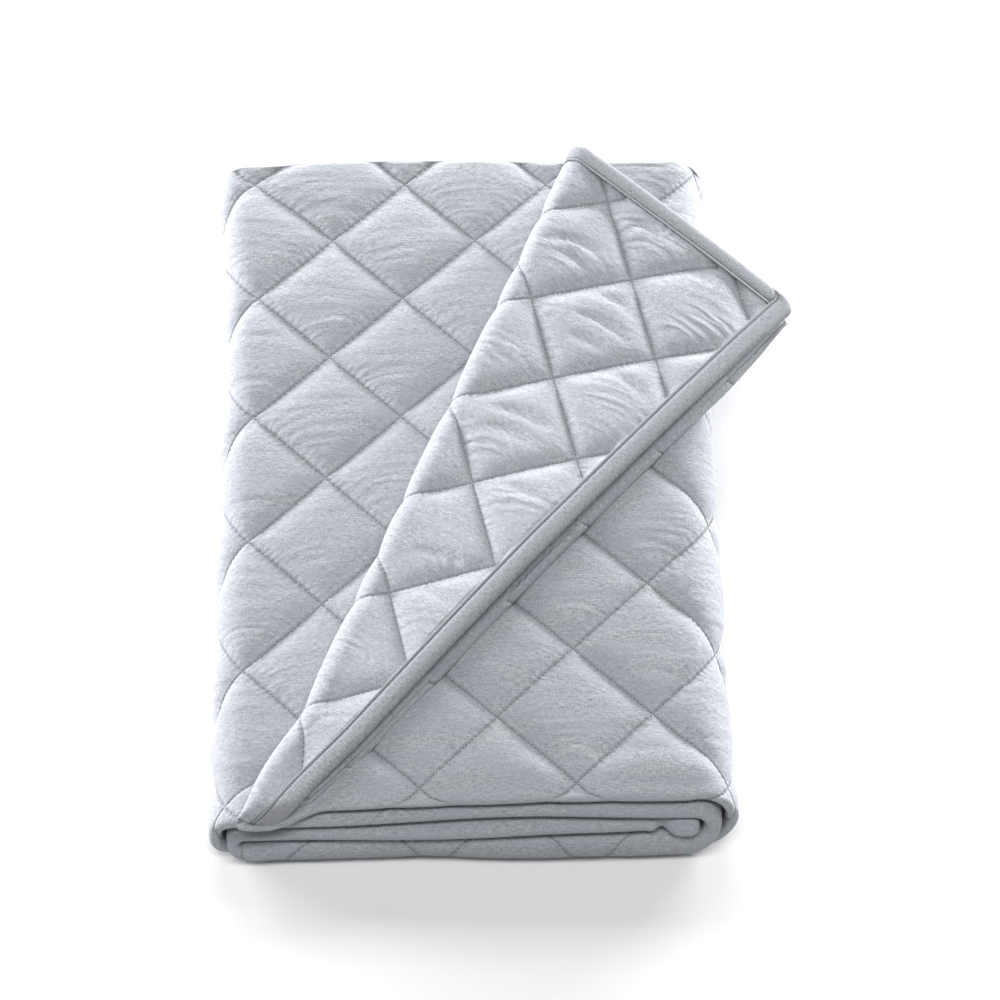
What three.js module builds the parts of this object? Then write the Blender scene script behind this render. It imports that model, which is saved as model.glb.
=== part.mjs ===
import * as THREE from 'three';

// A quilted bedspread, doubled over along its front edge, rolled up flat in five layers, with a
// corner of the top layer turned back. Millimetres, +Z up, the front of the pad towards -Y.
// The upper ply is the outer side of the roll; the under ply shows on the corner turned back.

const { lerp, smoothstep, degToRad } = THREE.MathUtils;

// Doubled cloth, measured from its middle, halfway between the two plies
const HALF = 9.3; // to each outer face
const SLIT = 0.6; // to the inner face of each ply
const BEVEL = 2.2; // each side of a free edge
const EDGE = 6; // distance over which a free edge rounds off

// Quilting in squares set on their points
const DIAMOND = 149; // diagonal of a square
const SEAM_DEPTH = 5.5; // how far the stitching draws a face in
const UPPER_SEAMS = { 3: { x: -217, y: -29 }, 4: { x: 175, y: -101 } }; // one crossing on each layer
const UNDER_SEAMS = { x: -50, y: 344, angle: degToRad(-10.8) }; // a crossing, and the slant of the rows

// The five layers in the order the cloth runs, from its inner end. Each runs across the pad to
// its turn, the middle of the bend into the next; bulb is how far its front fold gapes downwards,
// and recede the part of the bend in which its front goes over to the next one's.
const PITCH = 20;
const INNER_END = 198;
const LAYERS = [
  { level: 2, turn: -204, front: -357, back: 428, bulb: 0, steps: 3, bends: 4, recede: [0, 1] },
  { level: 1, turn: 196, front: -360, back: 428, bulb: 14, steps: 3, bends: 5, recede: [0, 1] },
  { level: 3, turn: -210, front: -348, back: 438, bulb: 0, steps: 11, bends: 6, recede: [0.65, 1] },
  { level: 0, turn: 200, front: -332, back: 436, bulb: 0, steps: 3, bends: 7, recede: [0, 0.35] },
  { level: 4, front: -344, back: 426, bulb: 0, steps: 7 },
];
const TOP = LAYERS[4];
const FRONT_WAVE = { height: 2, length: 340 };
const SAG = { front: 0.2, back: 0.05, from: 63, to: -250 }; // the pile slopes down to its left, most in front

// Corner turned back: the line it folds on, the free end of the cloth, and how it settles
const FOLD = { x: 132, y: 430, angle: degToRad(22.2), radius: 10.8 };
const FREE_END = { x: -189, y: 432, slope: 0.061 };
const UPPER_PAST = { atEnds: 4, most: 16, fromTip: 130, fromFront: 60 }; // upper ply beyond the under ply
const UNDER_PAST = 6; // the under ply reaches further back than the upper one
const FLAP_STEPS = { bend: 6, flat: 5 };
const FOOT = { radius: 26, clear: 2 }; // bend where the corner hangs over the front edge
const EDGE_LIFT = 7; // the under ply's free edge stands off the upper ply
const TIP_DROOP = { from: 240, over: 90, drop: 6 };

// Binding tape, folded over the under ply's edges
const TAPE = { width: 18, thick: 1.2, clear: 0.3, slack: 1.5 }; // slack is left on its hidden side
const MARGIN = { width: 18, outer: 8, inner: 4.2 }; // the cloth is pressed thin inside the tape
const END_INSETS = [18, 13.5, 9, 4.5, 0];

const CLOTH_LOOK = { color: 0xb9bbc2, roughness: 0.95, metalness: 0 };
const TAPE_LOOK = { color: 0xb8babe, roughness: 0.9, metalness: 0 };

const levelHeight = (level) => HALF + level * PITCH;
const foldX = (y) => FOLD.x + (y - FOLD.y) * Math.tan(FOLD.angle);
const freeEndX = (y) => FREE_END.x - FREE_END.slope * (FREE_END.y - y);
const halfTurn = Math.PI * FOLD.radius;

// How far past the fold line the cloth ends, on the upper ply (under 0) or the under ply (1)
function reach(y, under) {
  const fromTip = smoothstep(FREE_END.y - y, 0, UPPER_PAST.fromTip);
  const fromFront = smoothstep(y - TOP.front, 0, UPPER_PAST.fromFront);
  const upperPast = lerp(UPPER_PAST.atEnds, UPPER_PAST.most, fromTip * fromFront);
  return (foldX(y) - freeEndX(y)) * Math.cos(FOLD.angle) + (1 - under) * upperPast;
}

// The pile slopes down towards its left side
function settle(point) {
  const behind = THREE.MathUtils.clamp((point.y - TOP.front) / (TOP.back - TOP.front), 0, 1);
  const share = lerp(SAG.front, SAG.back, behind);
  point.z *= 1 - share * Math.max((SAG.from - point.x) / (SAG.from - SAG.to), 0);
  return point;
}

// A point of the top layer, given across the pad by y, past the fold line by w and off the
// cloth's middle by n: flat before the line, then half a turn, then lying back on the layer
function turnedBack(y, w, n, under) {
  const phi = THREE.MathUtils.clamp(w / FOLD.radius, 0, Math.PI);
  const past = Math.max(w - halfTurn, 0) - Math.min(w, 0);
  const across = past + (n - FOLD.radius) * Math.sin(phi);
  const base = levelHeight(TOP.level);
  const point = new THREE.Vector3(
    foldX(y) - w / Math.cos(FOLD.angle) + (w + across) * Math.cos(FOLD.angle),
    y - (w + across) * Math.sin(FOLD.angle),
    base + FOLD.radius * (1 - Math.cos(phi)) + n * Math.cos(phi),
  );
  const along = Math.sin(Math.PI * (y - TOP.front) / (TOP.back - TOP.front));
  const out = smoothstep(w, halfTurn, reach(y, under));
  point.z += EDGE_LIFT * under * out * Math.max(along, 0);
  const over = Math.max(point.x - TIP_DROOP.from, 0) / TIP_DROOP.over;
  point.z -= TIP_DROOP.drop * over * over;

  // the foot of the corner hangs over the front edge of the layer below
  const hinge = TOP.front - FOOT.clear;
  const hang = smoothstep(phi / Math.PI, 0.5, 1);
  if (point.y < hinge && hang > 0) {
    const turn = (hinge - point.y) / FOOT.radius;
    const arm = point.z - base;
    point.y = lerp(point.y, hinge - arm * Math.sin(turn), hang);
    point.z = lerp(point.z, base + arm * Math.cos(turn), hang);
  }
  return point;
}

// How far a face is drawn in at a place in its seams: full depth on a seam, none at a crown
function drawnIn(a, b) {
  const rise = Math.sin(Math.PI * (a + b) / DIAMOND) * Math.sin(Math.PI * (a - b) / DIAMOND);
  return SEAM_DEPTH * (1 - Math.sqrt(Math.abs(rise)));
}

// Rows are lines across the cloth, in order along it. at(t, n, under) gives a point t behind the
// front fold; upperSeam and underSeam give the seam depth; inset is the distance from the free end.
const rows = [];
const noSeam = () => 0;

function addRow(x, z, nx, nz, front, back, bulb, upperSeam) {
  const wave = FRONT_WAVE.height * Math.sin(2 * Math.PI * (x / FRONT_WAVE.length + z / PITCH / 3));
  const at = (t, n) => settle(new THREE.Vector3(x + n * nx, front + wave + t, z + n * nz));
  const depth = back - front - wave;
  rows.push({ at, upper: depth, under: depth + UNDER_PAST, front, bulb, upperSeam, underSeam: noSeam });
}

let start = INNER_END;
LAYERS.slice(0, 4).forEach((layer, index) => {
  const next = LAYERS[index + 1];
  const z = levelHeight(layer.level);
  const up = next.turn > layer.turn || index === 2 ? 1 : -1;
  const seams = UPPER_SEAMS[layer.level];
  for (let i = 0; i < layer.steps; i++) {
    const x = lerp(start, layer.turn, i / layer.steps);
    const seam = seams ? (y) => drawnIn(x - seams.x, y - seams.y) : noSeam;
    addRow(x, z, 0, up, layer.front, layer.back, layer.bulb, seam);
  }

  // the bend into the next layer, quilted where it is the outside of the pad
  const radius = Math.abs(levelHeight(next.level) - z) / 2;
  const middle = (levelHeight(next.level) + z) / 2;
  const begin = up > 0 ? Math.PI / 2 : -Math.PI / 2;
  const shown = seams ?? (next === TOP ? UPPER_SEAMS[TOP.level] : undefined);
  for (let i = 0; i < layer.bends; i++) {
    const share = i / layer.bends;
    const angle = begin + Math.PI * share;
    const fromTop = seams ? share : 1 - share;
    const run = (radius + HALF) * Math.PI * fromTop * Math.sign(layer.turn);
    const fade = 1 - smoothstep(fromTop, 0.6, 0.95);
    const seam = shown ? (y) => fade * drawnIn(layer.turn + run - shown.x, y - shown.y) : noSeam;
    const ease = smoothstep(share, ...layer.recede);
    const bulb = (share < 0.5 ? layer.bulb : next.bulb) * (1 - 2 * share) ** 2;
    addRow(
      layer.turn + radius * Math.cos(angle), middle + radius * Math.sin(angle),
      Math.cos(angle), Math.sin(angle),
      lerp(layer.front, next.front, ease), lerp(layer.back, next.back, ease), bulb, seam,
    );
  }
  start = layer.turn;
});

// The top layer and its turned corner; past(y, under) is the row's distance beyond the fold line
function addTopRow(past, inset) {
  const flatX = (y, under) => foldX(y) - past(y, under) / Math.cos(FOLD.angle);
  const at = (t, n, under) => {
    const y = TOP.front + t;
    return settle(turnedBack(y, past(y, under), n, under));
  };
  const upperSeam = (y) => {
    const { x: seamX, y: seamY } = UPPER_SEAMS[TOP.level];
    return drawnIn(flatX(y, 0) - seamX, y - seamY);
  };
  const underSeam = (y) => {
    const { x: seamX, y: seamY, angle } = UNDER_SEAMS;
    const a = flatX(y, 1) - seamX;
    const b = y - seamY;
    const along = a * Math.cos(angle) + b * Math.sin(angle);
    const across = b * Math.cos(angle) - a * Math.sin(angle);
    return smoothstep(past(y, 1), 0, halfTurn) * drawnIn(along, across);
  };
  const upper = TOP.back - TOP.front;
  const under = upper + UNDER_PAST;
  rows.push({ at, upper, under, front: TOP.front, bulb: 0, upperSeam, underSeam, inset });
}

const bendStop = (y, under) => Math.min(halfTurn, 0.8 * (reach(y, under) - MARGIN.width));
const flapStop = (y, under) => reach(y, under) - MARGIN.width;
for (let i = 0; i < TOP.steps; i++) {
  const share = 1 - i / TOP.steps;
  addTopRow((y) => share * (foldX(y) - start) * Math.cos(FOLD.angle));
}
for (let i = 0; i < FLAP_STEPS.bend; i++) {
  addTopRow((y, under) => bendStop(y, under) * i / FLAP_STEPS.bend);
}
for (let i = 0; i < FLAP_STEPS.flat; i++) {
  addTopRow((y, under) => lerp(bendStop(y, under), flapStop(y, under), i / FLAP_STEPS.flat));
}
for (const inset of END_INSETS) {
  addTopRow((y, under) => reach(y, under) - inset, inset);
}

// Places across a row, from the front fold to the back edge
const SEAM_START = 11.6;
const BULB_END = 28;
const NOSE_STEPS = 6;
const nearFront = [HALF, 18, BULB_END];
const seamPlaces = Array.from({ length: 19 }, (_, k) => SEAM_START + (k + 1) * DIAMOND / 4);
const upperPlaces = (edge) => [...nearFront, ...seamPlaces, SEAM_START + 5 * DIAMOND, edge - EDGE, edge];
const underPlaces = (edge) => [...nearFront, ...seamPlaces, edge - MARGIN.width, edge - EDGE, edge];

// One row's outer and inner face: upper ply from the back edge to the fold, round it, and back
function section(row) {
  const outer = [];
  const inside = [];
  const atEnd = row.inset === 0;
  const put = (t, out, into, under) => {
    outer.push(row.at(t, out, under));
    inside.push(row.at(t, into, under));
  };
  for (const t of upperPlaces(row.upper).reverse()) {
    const bulb = t < BULB_END ? row.bulb : 0;
    const bevel = atEnd || t === row.upper ? BEVEL : 0;
    const seam = bevel ? 0 : row.upperSeam(row.front + t) * smoothstep(t, HALF, BULB_END);
    put(t, HALF + bulb - seam - bevel, SLIT + bulb + bevel, 0);
  }
  for (let i = 1; i < NOSE_STEPS; i++) {
    const angle = Math.PI * (0.5 - i / NOSE_STEPS);
    const gape = row.bulb / 2;
    const under = (1 - Math.sin(angle)) / 2;
    const bevel = atEnd ? lerp(BEVEL, BEVEL / 2, under) : 0;
    const margin = row.inset === undefined ? 0 : under;
    const out = lerp(HALF, MARGIN.outer, margin) - bevel;
    const into = lerp(SLIT, MARGIN.inner, margin) + bevel;
    outer.push(row.at(HALF - out * Math.cos(angle), gape + (out + gape) * Math.sin(angle), under));
    inside.push(row.at(HALF - into * Math.cos(angle), gape + (into + gape) * Math.sin(angle), under));
  }
  for (const t of underPlaces(row.under)) {
    const taped = row.inset !== undefined || t >= row.under - MARGIN.width;
    const bevel = atEnd || t === row.under ? BEVEL / 2 : 0;
    const seam = taped ? 0 : row.underSeam(row.front + t) * smoothstep(t, HALF, BULB_END);
    put(t, -(taped ? MARGIN.outer : HALF) + seam + bevel, -(taped ? MARGIN.inner : SLIT) - bevel, 1);
  }
  return { outer, inside };
}

// Closed solid between two grids of points with the same rows; kept lists which columns of the
// first grid the second one has
function thickSheet(outer, inside, kept) {
  const points = [...outer.flat(), ...inside.flat()];
  const columns = outer[0].length;
  const innerColumns = inside[0].length;
  const last = outer.length - 1;
  const a = (row, column) => row * columns + column;
  const b = (row, column) => outer.length * columns + row * innerColumns + column;
  const index = [];
  const quad = (p, q, r, s) => index.push(p, q, r, p, r, s);
  for (let i = 0; i < last; i++) {
    for (let j = 0; j + 1 < columns; j++) quad(a(i, j), a(i + 1, j), a(i + 1, j + 1), a(i, j + 1));
    for (let j = 0; j + 1 < innerColumns; j++) quad(b(i, j), b(i, j + 1), b(i + 1, j + 1), b(i + 1, j));
    quad(a(i, 0), b(i, 0), b(i + 1, 0), a(i + 1, 0));
    quad(a(i, columns - 1), a(i + 1, columns - 1), b(i + 1, innerColumns - 1), b(i, innerColumns - 1));
  }
  for (let j = 0; j + 1 < innerColumns; j++) {
    for (let k = kept[j]; k < kept[j + 1]; k++) {
      index.push(a(0, k), a(0, k + 1), b(0, j));
      index.push(a(last, k + 1), a(last, k), b(last, j));
    }
    index.push(a(0, kept[j + 1]), b(0, j + 1), b(0, j));
    index.push(a(last, kept[j + 1]), b(last, j), b(last, j + 1));
  }
  const geometry = new THREE.BufferGeometry().setFromPoints(points);
  geometry.setIndex(index);
  return geometry;
}

// Quilted cloth, doubled and folded
const sections = rows.map(section);
const lastColumn = sections[0].outer.length - 1;
const nearFold = (column) => Math.abs(column - lastColumn / 2) <= nearFront.length + NOSE_STEPS / 2;
const kept = [...sections[0].outer.keys()].filter((column) => nearFold(column) || column % 2 === 0);
const quilt = thickSheet(
  sections.map((s) => s.outer),
  sections.map((s) => kept.map((column) => s.inside[column])),
  kept,
);

// Tape round an edge: places are distances in from the edge, n the height off the cloth's middle
const face = MARGIN.outer + TAPE.clear;
const back = MARGIN.inner - TAPE.clear - TAPE.slack;
const wrap = TAPE.clear + TAPE.thick;
const tapeOuter = [
  ...END_INSETS.map((d) => [d, -face - TAPE.thick]),
  [-wrap, -face + 1],
  [-wrap, -back - 1],
  ...END_INSETS.toReversed().map((d) => [d, -back + TAPE.thick]),
];
const tapeInner = [
  ...END_INSETS.map((d) => [d, -face]),
  [-TAPE.clear, -face + 0.5],
  [-TAPE.clear, -back - 0.5],
  ...END_INSETS.toReversed().map((d) => [d, -back]),
];

// Side binding: along the under ply's back edge, from the inner end to the end binding
addTopRow((y, under) => reach(y, under) - TAPE.width - TAPE.clear);
const sideRows = rows.filter((row) => row.inset === undefined);
const sideLine = (places) => sideRows.map((row) => places.map(([d, n]) => row.at(row.under - d, n, 1)));
const tapeColumns = [...tapeOuter.keys()];
const bindingSide = thickSheet(sideLine(tapeOuter), sideLine(tapeInner), tapeColumns);

// End binding: along the under ply's free end, from the tip to the front fold
const tipPlace = TOP.back - TOP.front + UNDER_PAST + TAPE.clear + TAPE.thick;
const endPlaces = [...underPlaces(tipPlace - TAPE.clear - TAPE.thick), tipPlace];
const endLine = (places) => endPlaces.map((t) => places.map(([d, n]) => {
  const y = TOP.front + t;
  return settle(turnedBack(y, reach(y, 1) - d, n, 1));
}));
const bindingEnd = thickSheet(endLine(tapeInner), endLine(tapeOuter), tapeColumns);

// Assembly, with the origin under the middle of the whole
const bedspread = new THREE.Group();
const pieces = [
  ['quilt', quilt, CLOTH_LOOK],
  ['binding_side', bindingSide, TAPE_LOOK],
  ['binding_end', bindingEnd, TAPE_LOOK],
];
const bounds = new THREE.Box3();
for (const [, geometry] of pieces) {
  geometry.computeBoundingBox();
  bounds.union(geometry.boundingBox);
}
const centre = bounds.getCenter(new THREE.Vector3());
for (const [name, geometry, look] of pieces) {
  geometry.translate(-centre.x, -centre.y, -bounds.min.z);
  geometry.computeVertexNormals();
  const mesh = new THREE.Mesh(geometry, new THREE.MeshStandardMaterial(look));
  mesh.name = name;
  bedspread.add(mesh);
}

export default bedspread;
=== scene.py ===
import math

import bpy
import numpy as np
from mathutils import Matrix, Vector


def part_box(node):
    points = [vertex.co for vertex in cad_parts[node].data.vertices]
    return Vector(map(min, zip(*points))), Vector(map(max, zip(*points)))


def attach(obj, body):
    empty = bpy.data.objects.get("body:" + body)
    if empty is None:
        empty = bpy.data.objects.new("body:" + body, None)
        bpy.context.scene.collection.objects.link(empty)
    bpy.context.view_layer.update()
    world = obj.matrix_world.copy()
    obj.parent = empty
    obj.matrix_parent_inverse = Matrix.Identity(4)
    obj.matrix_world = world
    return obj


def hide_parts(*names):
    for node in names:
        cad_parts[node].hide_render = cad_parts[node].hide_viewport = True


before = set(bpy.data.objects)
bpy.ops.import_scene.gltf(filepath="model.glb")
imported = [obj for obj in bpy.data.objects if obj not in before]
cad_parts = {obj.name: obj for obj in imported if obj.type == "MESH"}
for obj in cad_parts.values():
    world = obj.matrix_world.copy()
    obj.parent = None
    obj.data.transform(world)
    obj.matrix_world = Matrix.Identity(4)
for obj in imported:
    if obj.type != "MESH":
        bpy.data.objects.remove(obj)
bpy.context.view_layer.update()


# Quilt: two plies of heathered cotton with a thin filling, stitched together in squares set on
# their points. It is doubled along its front edge, rolled up flat in five layers, and a corner
# of the top layer is turned back over the pile, so that its under ply shows. Sizes in mm.
HALF, SLIT = 9.3, 0.6  # from the middle of the doubled cloth to a ply's outer and inner face
MIDDLE = (HALF + SLIT) / 2  # middle of one ply
EDGE = 6.0  # a free edge rounds off over this distance
PITCH = 20.0  # from layer to layer
DIAMOND = 149.0  # diagonal of a quilted square
PUFF = 7.2  # how far the stitching draws a face in
PUFF_RISE = 9.5  # the filling has risen by two thirds this far from a seam
ON_NOSE = 0.3  # share of that depth where a stitched face bends round its front fold
LAYER_3_SEAMS = (-217.6, -28.5, math.radians(-0.8))  # a crossing on each face, and the rows' slant
LAYER_4_SEAMS = (174.5, -101.0, 0.0)
INNER_SEAMS = (-36.0, -347.0, 0.0)
FLAP_SEAMS = (-50.0, 344.0, math.radians(-10.8))
PLUMP, PLUMP_OVER = -1.0, (12.0, 42.0)  # front folds are thinner, and come back to full between these
DROP, DROP_OVER = 4.0, 38.0  # the top layer rounds off by this over this distance to its front fold
BULB, BULB_OVER = 17.5, (14.0, 30.0)  # the fold of layer 1 gapes to the floor, and closes between these
UPPER_FULL, UNDER_FULL = 55.0, 24.0  # the puffs of each ply are full this far behind the front fold
ARCH = 0.8  # share of the soft troughs in each square
PULL = 14.0  # the seams are drawn outwards by this at the left front corner
HELD, HELD_OVER = 1.6, 5.0  # beside the tape the cloth is held down, easing off over this distance
GATHER, GATHER_OVER = 1.0, 10.0  # and gathered, which eases off over this one
SIDE_GATHER = 1.3  # depth of the gathers round the pad's sides
FRONT_WAVE = (2.0, 340.0)  # height and length of the waver of the front edge
SAG_FRONT, SAG_BACK, SAG_FROM, SAG_TO = 0.2, 0.0, 63.0, -250.0  # the pile slopes to its left
TOP_FRONT, TOP_BACK = -344.0, 426.0
FOLD_X, FOLD_Y, FOLD_ANGLE, FOLD_RADIUS = 132.0, 430.0, math.radians(22.2), 10.8
HALF_TURN = math.pi * FOLD_RADIUS
END_X, END_Y, END_SLOPE = -190.0, 432.0, 0.0595  # free end of the cloth, before it is turned
UPPER_PAST = (1.0, 4.0)  # the upper ply's free end beyond the under one's, at its ends and between
UNDER_PAST, FLAP_PAST = 6.0, 4.0  # the under ply reaches further back, more on the turned corner
FOOT_RADIUS, FOOT_HINGE, FOOT_LONGER = 22.0, -338.0, 20.0  # the corner hangs over the front edge
FOOT_FLATTER = 0.5  # this share of its thickness is pressed out there
FOOT_LEFT = 13.0  # and swings this far out to the left
CORNER = 9.0  # radius of the tip, seen flat
EDGE_LIFT = 11.0  # the under ply's free edge stands off the upper one
DROOP_FROM, DROOP_OVER, DROOP = 200.0, 130.0, 8.0  # the tip droops
TAPE_WIDTH = 18.0
TURNED_WEAVE = 400.0  # the weave of the turned corner is counted from here, so that it differs
MARGIN = 7.7  # the under ply's outer face where the tape presses it
FLARE, FLARE_LEFT = 4.5, 11.0  # the sides stand out at the back, and the right one in front

quilt_low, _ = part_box("quilt")
_, side_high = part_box("binding_side")
PAD_LEFT, TAPE_BACK = -249.3, 445.5  # the pad's left side and the tape on its back edge, as made here
SHIFT_X = quilt_low.x * 1000 - PAD_LEFT  # from here to the frame
SHIFT_Y = side_high.y * 1000 - TAPE_BACK

# Creases of the turned corner: two ends, how far the line bows to its left, half width, depth
FLAP_CREASES = np.array([
    # x0     y0     x1     y1    bow  width depth
    (77.0, 308.0, 142.0, 277.0, 12.0, 4.0, 3.8),
    (90.0, 293.0, 135.0, 251.0, 8.0, 4.0, 3.0),
    (120.0, 352.0, 156.0, 325.0, 6.0, 4.0, 2.8),
    (160.0, 332.0, 206.0, 298.0, 6.0, 5.0, 2.6),
    (118.0, 241.0, 180.0, 196.0, 8.0, 4.0, 4.1),
    (105.0, 212.0, 170.0, 162.0, 9.0, 4.0, 4.1),
    (99.0, 186.0, 146.0, 151.0, 5.0, 4.0, 2.9),
    (228.0, 262.0, 254.0, 240.0, 4.0, 3.0, 2.6),
    (16.0, 100.0, 86.0, 57.0, 7.0, 4.0, 4.1),
    (8.0, 76.0, 74.0, 33.0, 9.0, 4.0, 3.8),
    (126.0, 139.0, 182.0, 91.0, 10.0, 4.0, 3.8),
    (24.0, 0.0, 73.0, -27.0, 6.0, 4.0, 3.2),
    (-58.0, -70.0, 6.0, -118.0, 10.0, 5.0, 3.8),
    (-72.0, -106.0, -10.0, -156.0, 10.0, 5.0, 3.5),
    (-150.0, -214.0, -100.0, -258.0, 8.0, 6.0, 3.2),
])


def smooth(x, start, end):
    """0 before start, 1 after end, and the cubic 3 s^2 - 2 s^3 of the share s between."""
    s = np.clip((x - start) / (end - start), 0, 1)
    return s * s * (3 - 2 * s)


def rounded(e):
    """Quarter circle over EDGE: the share of its thickness that a ply has, e in from a free edge."""
    return np.sqrt(np.maximum(1 - (1 - np.clip(e / EDGE, 0.006, 1)) ** 2, 0))


def turned(a, b, slant):
    """The vector (a, b) in axes turned by a slant."""
    return a * math.cos(slant) + b * math.sin(slant), b * math.cos(slant) - a * math.sin(slant)


def puffed(a, b):
    """Share of the full loft at (a, b) from a crossing: for each of the two families of slanting
    seams 1 - exp(-d / PUFF_RISE), with d the distance to its nearest seam, softened at the seam;
    the two shares are multiplied."""
    loft = 1.0
    for line in (a + b, a - b):
        d = np.abs(line / DIAMOND - np.round(line / DIAMOND)) * DIAMOND / math.sqrt(2)
        d = np.sqrt(d * d + 1) - 1
        loft = loft * (1 - np.exp(-d / PUFF_RISE))
    return loft / (1 - math.exp(-50 / PUFF_RISE)) ** 2


def arched(a, b):
    """Soft troughs round the front corner of each square: two rings about it, with a bell curve
    across and fading to the sides, whose radius and depth differ from square to square."""
    i, j = np.floor((a + b) / DIAMOND), np.floor((a - b) / DIAMOND)
    u, v = a - (i + j + 1) * DIAMOND / 2, b - (i - j - 1) * DIAMOND / 2
    r = np.hypot(u, v)
    depth = 0.0
    for radius, vary, phase in ((24.0, 5.0, 0.4), (46.0, 9.0, 2.1)):
        uneven = np.sin(2.4 * i + 5.3 * j + phase)
        other = np.sin(4.1 * i - 3.3 * j + 2 * phase)
        across = (r - radius - vary * uneven + 0.12 * u * other) / 5.0
        depth = depth + (0.7 + 0.5 * other) * np.exp(-across * across - (u / (0.62 * radius)) ** 2)
    return depth


def creased(x, y, table):
    """Depth of the creases of a table at (x, y): each is a parabola between its ends that bows to
    its left, with a bell curve across it and a sine's half wave of depth along it."""
    depth = np.zeros(np.broadcast(x, y).shape)
    for x0, y0, x1, y1, bow, width, deep in table:
        length = math.hypot(x1 - x0, y1 - y0)
        ux, uy = (x1 - x0) / length, (y1 - y0) / length
        u = np.clip(((x - x0) * ux + (y - y0) * uy) / length, 0, 1)
        v = (y - y0) * ux - (x - x0) * uy - bow * 4 * u * (1 - u)
        depth += deep * np.sin(math.pi * u) * np.exp(-((v / width) ** 2))
    return depth


def gathered(s):
    """Uneven ripple along s in mm, from -1 to 1: a sine with a length of 13 whose phase and
    height waver in longer waves."""
    ripple = np.sin(2 * math.pi * s / 13 + 1.7 * np.sin(2 * math.pi * s / 71))
    return ripple * (0.6 + 0.4 * np.sin(2 * math.pi * s / 47 + 1))


def settled(x, y, z):
    """Points in metres in the frame: lowered in proportion to their height towards the left, most
    in front, and moved out by FLARE at the right corners and by FLARE_LEFT at the left back one."""
    behind = np.clip((y - TOP_FRONT) / (TOP_BACK - TOP_FRONT), 0, 1)
    share = SAG_FRONT + (SAG_BACK - SAG_FRONT) * behind
    z = z * (1 - share * np.maximum((SAG_FROM - x) / (SAG_FROM - SAG_TO), 0))
    x = x + FLARE * smooth(x, 150, 230) * (smooth(-y, 240, 345) + smooth(y, 340, 430))
    x = x - FLARE_LEFT * smooth(-x, 150, 230) * smooth(y, 240, 430)
    x, y, z = np.broadcast_arrays(x + SHIFT_X, y + SHIFT_Y, z)
    return np.stack([x, y, z], -1) / 1000


def fold_x(y):
    """Place of the slanting fold line at y."""
    return FOLD_X + (y - FOLD_Y) * math.tan(FOLD_ANGLE)


def reach(y, under):
    """Distance from the fold line to the cloth's free end; the upper ply (under 0) goes further,
    and the corner with the back edge is a quarter circle."""
    between_ends = smooth(END_Y - y, 0, 130) * smooth(y - TOP_FRONT, 0, 60)
    past = UPPER_PAST[0] + (UPPER_PAST[1] - UPPER_PAST[0]) * between_ends
    end_x = END_X - END_SLOPE * (END_Y - y)
    turn = np.clip(1 - (TOP_BACK + (UNDER_PAST + FLAP_PAST) * under - y) / CORNER, 0, 1)
    cut = CORNER * (1 - np.sqrt(1 - turn * turn))
    return (fold_x(y) - end_x) * math.cos(FOLD_ANGLE) + (1 - under) * past - cut


def turned_back(y, w, n, under):
    """Point of the top layer that lies at y, w past the fold line and n off the cloth's middle:
    flat before the line, half a turn round it, then flat again on the layer; the under ply's end
    is lifted, the tip droops as a parabola, and what passes the front edge bends down over it."""
    sin, cos = math.sin(FOLD_ANGLE), math.cos(FOLD_ANGLE)
    pressed = FOOT_FLATTER * smooth(-y, -TOP_FRONT - 110, -TOP_FRONT) * smooth(w, -8, 8)
    n = n * (1 - pressed)
    radius = FOLD_RADIUS * (1 - 0.65 * pressed)
    phi = np.clip(w / radius, 0, math.pi)
    across = np.maximum(w - math.pi * radius, 0) - np.minimum(w, 0) + (n - radius) * np.sin(phi)
    base = HALF + 4 * PITCH
    x = fold_x(y) - w / cos + (w + across) * cos - (0.65 * FOLD_RADIUS + HALF) * pressed
    x = x - FOOT_LEFT * smooth(-y, 230, 320) * smooth(w, -20, 20)
    z = base + radius * (1 - np.cos(phi)) + n * np.cos(phi)
    out = smooth(w, HALF_TURN, np.maximum(reach(y, under), HALF_TURN + 1))
    arch = np.maximum(np.sin(math.pi * (y - TOP_FRONT) / (TOP_BACK - TOP_FRONT)), 0)
    z = z + EDGE_LIFT * under * out * arch
    z = z - DROOP * (np.maximum(x - DROOP_FROM, 0) / DROOP_OVER) ** 2
    y = y - (w + across) * sin
    hang = smooth(phi / math.pi, 0.4, 1) * (y < FOOT_HINGE)
    turn = np.maximum(FOOT_HINGE - y, 0) / FOOT_RADIUS
    arm = z - base
    y = y + hang * (FOOT_HINGE - arm * np.sin(turn) - y)
    z = z + hang * (base + arm * np.cos(turn) - z)
    return x, y, z


# Places across a row: upper ply from its back edge to the front fold, round it, under ply back
ACROSS, NOSE = 160, 12  # steps over a ply, and round the fold
NEAR_EDGE = np.array([8.5, 5.5, 3.2, 1.6, 0.6, 0.0])


def places(depth):
    """Distances behind the front fold over one ply: even steps, with closer ones at its edge."""
    even = np.linspace(0, 1, ACROSS - 4)
    inner = HALF + (depth - NEAR_EDGE[0] - HALF) * even
    return np.concatenate([inner, depth - NEAR_EDGE[1:]], -1)


nose_turn = math.pi * (0.5 - np.arange(1, NOSE) / NOSE)
nose_out, nose_up = np.cos(nose_turn), np.sin(nose_turn)


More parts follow.
